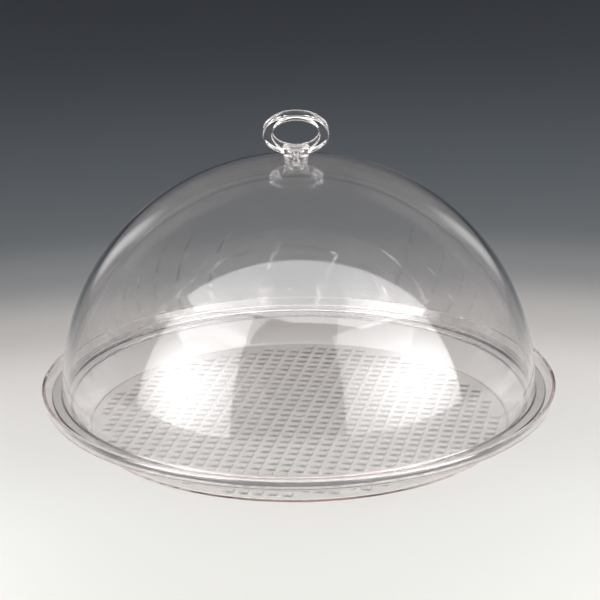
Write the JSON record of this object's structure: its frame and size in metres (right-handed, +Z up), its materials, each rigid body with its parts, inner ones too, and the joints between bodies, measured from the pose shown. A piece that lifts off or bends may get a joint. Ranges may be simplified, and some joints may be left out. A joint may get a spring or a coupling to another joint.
{
  "type": "buffet food cover dome",
  "caption": "Clear domed food cover with a ring handle on its crown, resting in a matching clear round tray with a raised lip, ledge and flat floor.",
  "frame": {"origin": "centre of the tray's flat underside", "axes": "+Z up, along the axis of dome and tray; the finger opening of the ring handle runs along Y, and the ring's front face looks along -Y"},
  "size_m": [0.3994, 0.3994, 0.2477],
  "materials": {
    "dome_clear": "clear polished",
    "tray_clear": "clear polished",
    "handle_clear": "clear polished",
    "fastening_clear": "clear moulded",
    "gasket_clear": "clear silicone"
  },
  "bodies": {
    "tray": {"tray": "tray_clear"},
    "cover": {"dome": "dome_clear", "handle_gasket": "gasket_clear", "handle": "handle_clear", "screw_washer": "fastening_clear", "handle_screw": "fastening_clear"}
  },
  "joints": [
    {"name": "cover_lift", "type": "slide", "parent": "tray", "child": "cover", "axis": [0, 0, 1], "range_m": [0, 0.3]}
  ]
}
